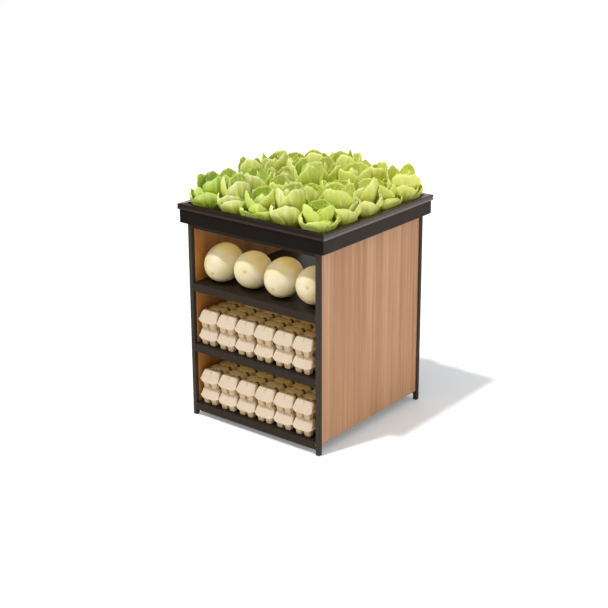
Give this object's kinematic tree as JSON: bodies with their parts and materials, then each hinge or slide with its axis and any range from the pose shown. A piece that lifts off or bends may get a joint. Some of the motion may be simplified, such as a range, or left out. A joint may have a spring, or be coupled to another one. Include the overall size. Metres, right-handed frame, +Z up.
{
  "type": "produce display stand",
  "caption": "Free-standing produce display stand: dark steel frame, wood-laminate sides, open shelves with melons and egg cartons, and a lift-off top tray of lettuce.",
  "frame": {"origin": "on the floor, at the middle of the stand's footprint", "axes": "+X to the right along the front, +Y from the front to the back, +Z up"},
  "size_m": [0.732, 0.732, 1.0409],
  "materials": {
    "frame_steel": "satin powder coat, dark brown black",
    "shelf_steel": "satin powder coat, dark brown black",
    "foot_plastic": "moulded, matte",
    "wood_laminate": "straight-grained laminate, satin",
    "fastener_steel": "dark zinc",
    "tray_steel": "satin powder coat, near black",
    "trim_moulding": "satin extrusion, anodised dark bronze",
    "pad_rubber": "moulded, matte",
    "lettuce_leaf": "waxy leaf, veined",
    "melon_rind": "smooth waxy rind",
    "carton_pulp": "moulded paper pulp"
  },
  "bodies": {
    "frame": {"post_front_left": "frame_steel", "post_back_left": "frame_steel", "post_front_right": "frame_steel", "post_back_right": "frame_steel", "foot_front_left": "foot_plastic", "foot_back_left": "foot_plastic", "foot_front_right": "foot_plastic", "foot_back_right": "foot_plastic", "top_rail_front": "frame_steel", "top_rail_back": "frame_steel", "top_rail_left": "frame_steel", "top_rail_right": "frame_steel", "top_rail_middle": "frame_steel", "side_panel_left": "wood_laminate", "side_panel_right": "wood_laminate", "shelf_bottom": "shelf_steel", "shelf_middle": "shelf_steel", "shelf_upper": "shelf_steel", "shelf_stiffener_bottom": "frame_steel", "shelf_stiffener_middle": "frame_steel", "shelf_stiffener_upper": "frame_steel", "shelf_bolts": "fastener_steel", "panel_screws": "fastener_steel"},
    "tray": {"top_tray": "tray_steel", "edge_trim_front": "trim_moulding", "edge_trim_right": "trim_moulding", "edge_trim_back": "trim_moulding", "edge_trim_left": "trim_moulding", "tray_pads": "pad_rubber", "tray_rivets": "fastener_steel"},
    "lettuce": {"lettuce_row_1": "lettuce_leaf", "lettuce_row_2": "lettuce_leaf", "lettuce_row_3": "lettuce_leaf", "lettuce_row_4": "lettuce_leaf", "lettuce_row_5": "lettuce_leaf"},
    "melon_1": {"melon_1": "melon_rind"},
    "melon_2": {"melon_2": "melon_rind"},
    "melon_3": {"melon_3": "melon_rind"},
    "melon_4": {"melon_4": "melon_rind"},
    "carton_file_bottom_1": {"egg_cartons_bottom_1": "carton_pulp"},
    "carton_file_bottom_2": {"egg_cartons_bottom_2": "carton_pulp"},
    "carton_file_bottom_3": {"egg_cartons_bottom_3": "carton_pulp"},
    "carton_file_bottom_4": {"egg_cartons_bottom_4": "carton_pulp"},
    "carton_file_bottom_5": {"egg_cartons_bottom_5": "carton_pulp"},
    "carton_file_bottom_6": {"egg_cartons_bottom_6": "carton_pulp"},
    "carton_file_middle_1": {"egg_cartons_middle_1": "carton_pulp"},
    "carton_file_middle_2": {"egg_cartons_middle_2": "carton_pulp"},
    "carton_file_middle_3": {"egg_cartons_middle_3": "carton_pulp"},
    "carton_file_middle_4": {"egg_cartons_middle_4": "carton_pulp"},
    "carton_file_middle_5": {"egg_cartons_middle_5": "carton_pulp"},
    "carton_file_middle_6": {"egg_cartons_middle_6": "carton_pulp"}
  },
  "joints": [
    {"name": "tray_lift", "type": "slide", "parent": "frame", "child": "tray", "axis": [0, 0, 1], "range_m": [0, 0.3]},
    {"name": "lettuce_lift", "type": "slide", "parent": "tray", "child": "lettuce", "axis": [0, 0, 1], "range_m": [0, 0.3]},
    {"name": "melon_1_out", "type": "slide", "parent": "frame", "child": "melon_1", "axis": [0, -1, 0], "range_m": [0, 0.2]},
    {"name": "melon_2_out", "type": "slide", "parent": "frame", "child": "melon_2", "axis": [0, -1, 0], "range_m": [0, 0.2]},
    {"name": "melon_3_out", "type": "slide", "parent": "frame", "child": "melon_3", "axis": [0, -1, 0], "range_m": [0, 0.2]},
    {"name": "melon_4_out", "type": "slide", "parent": "frame", "child": "melon_4", "axis": [0, -1, 0], "range_m": [0, 0.2]},
    {"name": "carton_file_bottom_1_out", "type": "slide", "parent": "frame", "child": "carton_file_bottom_1", "axis": [0, -1, 0], "range_m": [0, 0.62]},
    {"name": "carton_file_bottom_2_out", "type": "slide", "parent": "frame", "child": "carton_file_bottom_2", "axis": [0, -1, 0], "range_m": [0, 0.62]},
    {"name": "carton_file_bottom_3_out", "type": "slide", "parent": "frame", "child": "carton_file_bottom_3", "axis": [0, -1, 0], "range_m": [0, 0.62]},
    {"name": "carton_file_bottom_4_out", "type": "slide", "parent": "frame", "child": "carton_file_bottom_4", "axis": [0, -1, 0], "range_m": [0, 0.62]},
    {"name": "carton_file_bottom_5_out", "type": "slide", "parent": "frame", "child": "carton_file_bottom_5", "axis": [0, -1, 0], "range_m": [0, 0.62]},
    {"name": "carton_file_bottom_6_out", "type": "slide", "parent": "frame", "child": "carton_file_bottom_6", "axis": [0, -1, 0], "range_m": [0, 0.62]},
    {"name": "carton_file_middle_1_out", "type": "slide", "parent": "frame", "child": "carton_file_middle_1", "axis": [0, -1, 0], "range_m": [0, 0.62]},
    {"name": "carton_file_middle_2_out", "type": "slide", "parent": "frame", "child": "carton_file_middle_2", "axis": [0, -1, 0], "range_m": [0, 0.62]},
    {"name": "carton_file_middle_3_out", "type": "slide", "parent": "frame", "child": "carton_file_middle_3", "axis": [0, -1, 0], "range_m": [0, 0.62]},
    {"name": "carton_file_middle_4_out", "type": "slide", "parent": "frame", "child": "carton_file_middle_4", "axis": [0, -1, 0], "range_m": [0, 0.62]},
    {"name": "carton_file_middle_5_out", "type": "slide", "parent": "frame", "child": "carton_file_middle_5", "axis": [0, -1, 0], "range_m": [0, 0.62]},
    {"name": "carton_file_middle_6_out", "type": "slide", "parent": "frame", "child": "carton_file_middle_6", "axis": [0, -1, 0], "range_m": [0, 0.62]}
  ]
}
